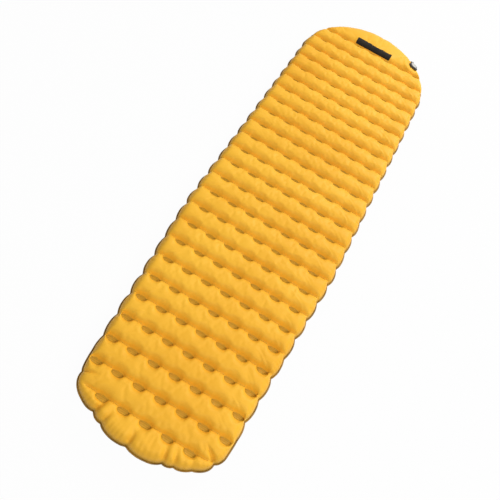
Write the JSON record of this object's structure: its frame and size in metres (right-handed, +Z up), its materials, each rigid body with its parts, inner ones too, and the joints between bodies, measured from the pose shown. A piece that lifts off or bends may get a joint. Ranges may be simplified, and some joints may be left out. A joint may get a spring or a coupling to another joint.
{
  "type": "inflatable sleeping pad",
  "caption": "Tapered inflatable sleeping pad with rounded head and foot, cross valleys over inner trusses, and a flat two-stage valve at one head corner.",
  "frame": {"origin": "on the ground under the middle of the pad's outline", "axes": "+X across the pad towards the valve, +Y from foot to head, +Z up from the ground"},
  "size_m": [0.51, 1.8296, 0.0773],
  "materials": {
    "face_fabric": "soft satin coated weave, golden yellow",
    "base_fabric": "soft satin coated weave, golden yellow",
    "film": "thin laminate film",
    "label": "matt black transfer, blank",
    "soft_ring": "soft matt",
    "collar": "fine matt",
    "plug": "fine matt",
    "lid": "satin light grey",
    "seal": "smooth",
    "flap": "smooth translucent silicone"
  },
  "bodies": {
    "pad": {"top_sheet": "face_fabric", "bottom_sheet": "base_fabric", "label_patch": "label", "valve_flange": "soft_ring", "valve_body": "collar", "truss_01": "film", "truss_02": "film", "truss_03": "film", "truss_04": "film", "truss_05": "film", "truss_06": "film", "truss_07": "film", "truss_08": "film", "truss_09": "film", "truss_10": "film", "truss_11": "film", "truss_12": "film", "truss_13": "film", "truss_14": "film", "truss_15": "film", "truss_16": "film", "truss_17": "film", "truss_18": "film", "truss_19": "film", "truss_20": "film", "truss_21": "film", "truss_22": "film", "truss_23": "film", "truss_24": "film", "truss_25": "film"},
    "plug": {"deflate_plug": "plug", "plug_gasket": "seal"},
    "lid": {"inflate_lid": "lid", "lid_seal": "seal"},
    "flap": {"check_flap": "flap"}
  },
  "joints": [
    {"name": "plug_hinge", "type": "hinge", "parent": "pad", "child": "plug", "pos_m": [0.17631, 0.81146, 0.07094], "axis": [0.6666, 0.6783, -0.309], "range_deg": [0, 110]},
    {"name": "lid_hinge", "type": "hinge", "parent": "plug", "child": "lid", "pos_m": [0.15296, 0.83562, 0.07361], "axis": [-0.6666, -0.6783, 0.309], "range_deg": [0, 150]},
    {"name": "flap_lift", "type": "slide", "parent": "plug", "child": "flap", "axis": [-0.2166, -0.2204, -0.9511], "range_m": [0, 0.0012], "stiffness_N_per_m": 20}
  ]
}
